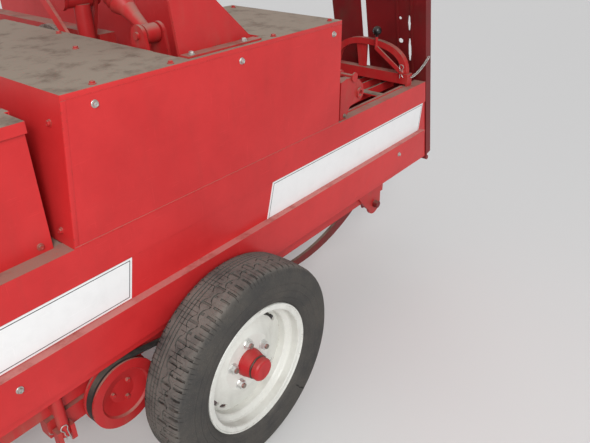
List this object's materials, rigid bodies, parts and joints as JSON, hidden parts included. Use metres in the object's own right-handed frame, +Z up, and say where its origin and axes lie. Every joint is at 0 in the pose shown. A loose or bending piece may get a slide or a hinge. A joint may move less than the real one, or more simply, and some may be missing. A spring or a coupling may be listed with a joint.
{
  "type": "square baler",
  "caption": "Side-fed square baler: hooded bale chamber on two wheels with pickup, feeder, needles, knotters, flywheel, folded chute and swinging drawbar on a stand.",
  "frame": {"origin": "on the ground at the middle of the outline in X and Y", "axes": "+X forward to the drawbar, +Y to the machine's left, +Z up"},
  "size_m": [3.8947, 2.238, 1.463],
  "materials": {
    "belt": "worn black belt",
    "cast": "red painted casting",
    "gauge": "solid black rubber",
    "red": "semi-gloss red paint, dusty",
    "rim_white": "off-white wheel paint, scuffed",
    "shade_red": "dull red paint",
    "shield": "black shaft guard",
    "steel": "worn bare steel with light rust",
    "tyre": "dusty black tyre rubber"
  },
  "bodies": {
    "chassis": {"left_wall": "red", "right_wall": "red", "chamber_floor": "red", "top_cover": "red", "left_rail": "shade_red", "chassis": "red", "hood": "red", "tower": "red", "feed_housing": "red", "feeder_forks": "red", "feeder_rocker": "shade_red", "feeder_strut": "red", "feeder_crank": "steel", "knotters": "steel", "axle": "shade_red", "drive_belt": "belt", "belt_pulley": "steel", "wind_guard": "steel", "gearbox": "cast", "drawbar_bracket": "red", "twine_box": "red", "front_shield": "red", "density_frame": "red", "knob_lever": "steel", "rear_bracket": "red", "chute_chain": "steel"},
    "wheel_left": {"tyre_left": "tyre", "rim_left": "rim_white", "hub_left": "cast"},
    "wheel_right": {"tyre_right": "tyre", "rim_right": "rim_white", "hub_right": "cast"},
    "pickup": {"pickup_frame": "red", "pickup_strippers": "red"},
    "reel": {"pickup_reel": "steel"},
    "gauge": {"gauge_wheel": "gauge"},
    "pickup_shaft": {"pickup_drive": "red"},
    "flywheel": {"flywheel": "cast", "pto_shaft": "shield"},
    "drawbar": {"drawbar": "red"},
    "stand": {"stand_leg": "red"},
    "needles": {"needle_frame": "shade_red"},
    "chute": {"bale_chute": "red"},
    "lid": {"twine_lid": "red"},
    "metering": {"metering_wheel": "steel"}
  },
  "joints": [
    {"name": "wheel_left_spin", "type": "hinge", "parent": "chassis", "child": "wheel_left", "pos_m": [-0.53263, 1.04, 0.328], "axis": [0, 1, 0], "continuous": true},
    {"name": "wheel_right_spin", "type": "hinge", "parent": "chassis", "child": "wheel_right", "pos_m": [-0.53263, -1.04, 0.328], "axis": [0, 1, 0], "continuous": true},
    {"name": "pickup_lift", "type": "hinge", "parent": "chassis", "child": "pickup", "pos_m": [-0.19363, -0.221, 0.393], "axis": [0, 1, 0], "range_deg": [0, 16]},
    {"name": "reel_spin", "type": "hinge", "parent": "pickup", "child": "reel", "pos_m": [0.15737, -0.221, 0.4], "axis": [0, 1, 0], "continuous": true},
    {"name": "gauge_spin", "type": "hinge", "parent": "pickup", "child": "gauge", "pos_m": [0.15737, -0.909, 0.26], "axis": [0, 1, 0], "continuous": true},
    {"name": "pickup_shaft_spin", "type": "hinge", "parent": "chassis", "child": "pickup_shaft", "pos_m": [-0.19363, -0.221, 0.393], "axis": [0, 1, 0], "continuous": true},
    {"name": "flywheel_spin", "type": "hinge", "parent": "chassis", "child": "flywheel", "pos_m": [0.79237, 0.679, 0.72], "axis": [1, 0, 0], "continuous": true},
    {"name": "drawbar_swing", "type": "hinge", "parent": "chassis", "child": "drawbar", "pos_m": [0.64737, 0.679, 0.392], "axis": [0, 0, 1], "range_deg": [-25, 25]},
    {"name": "stand_fold", "type": "hinge", "parent": "drawbar", "child": "stand", "pos_m": [1.36737, 0.799, 0.392], "axis": [0, 1, 0], "range_deg": [0, 90]},
    {"name": "needle_swing", "type": "hinge", "parent": "chassis", "child": "needles", "pos_m": [-1.51263, 0.679, 0.405], "axis": [0, -1, 0], "range_deg": [0, 53]},
    {"name": "chute_fold", "type": "hinge", "parent": "chassis", "child": "chute", "pos_m": [-1.92263, 0.679, 0.486], "axis": [0, -1, 0], "range_deg": [0, 103]},
    {"name": "lid_open", "type": "hinge", "parent": "chassis", "child": "lid", "pos_m": [-0.12963, 0.679, 1.152], "axis": [0, -1, 0], "range_deg": [0, 100]},
    {"name": "metering_spin", "type": "hinge", "parent": "chassis", "child": "metering", "pos_m": [-1.33263, 0.679, 0.925], "axis": [0, 1, 0], "continuous": true}
  ]
}
